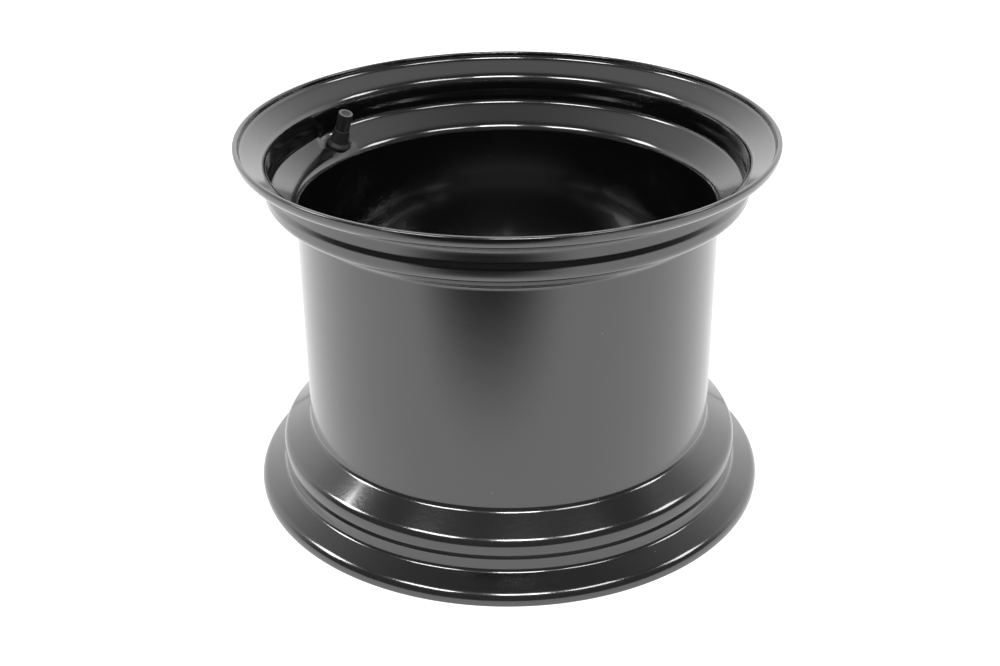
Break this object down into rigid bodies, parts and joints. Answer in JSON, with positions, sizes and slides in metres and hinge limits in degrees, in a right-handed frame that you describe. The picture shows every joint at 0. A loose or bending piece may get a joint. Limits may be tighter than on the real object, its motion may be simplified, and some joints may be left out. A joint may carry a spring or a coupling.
{
  "type": "wheel rim",
  "caption": "Wide drop-centre steel wheel rim, gloss black, with flanged ends, a straight well, a dished bolt-on disc inside and a snap-in tyre valve on one shoulder.",
  "frame": {"origin": "centre of the ring that the lower flange's edge stands on", "axes": "+Z along the wheel's axis towards the flange with the valve; +X and +Y across, with the first bolt hole towards -Y"},
  "size_m": [0.338, 0.338, 0.2385],
  "materials": {
    "black_paint": "gloss black paint on steel",
    "valve_rubber": "matt moulded",
    "valve_brass": "turned",
    "core_seal": "matt moulded",
    "spring_steel": "drawn wire",
    "cap_plastic": "moulded"
  },
  "bodies": {
    "wheel": {"rim": "black_paint", "wheel_disc": "black_paint", "disc_weld": "black_paint", "valve_body": "valve_rubber", "valve_stem": "valve_brass", "core_barrel": "valve_brass", "core_gasket": "core_seal", "core_spring": "spring_steel"},
    "valve_pin": {"core_pin": "valve_brass", "core_seal": "core_seal"},
    "valve_cap": {"valve_cap": "cap_plastic", "cap_seal": "core_seal"}
  },
  "joints": [
    {"name": "pin_press", "type": "slide", "parent": "wheel", "child": "valve_pin", "axis": [-0.2667, 0.1867, -0.9455], "range_m": [0, 0.0012], "stiffness_N_per_m": 1500, "deforming": ["core_spring"]},
    {"name": "cap_off", "type": "slide", "parent": "wheel", "child": "valve_cap", "axis": [0.2667, -0.1867, 0.9455], "range_m": [0, 0.014]}
  ]
}
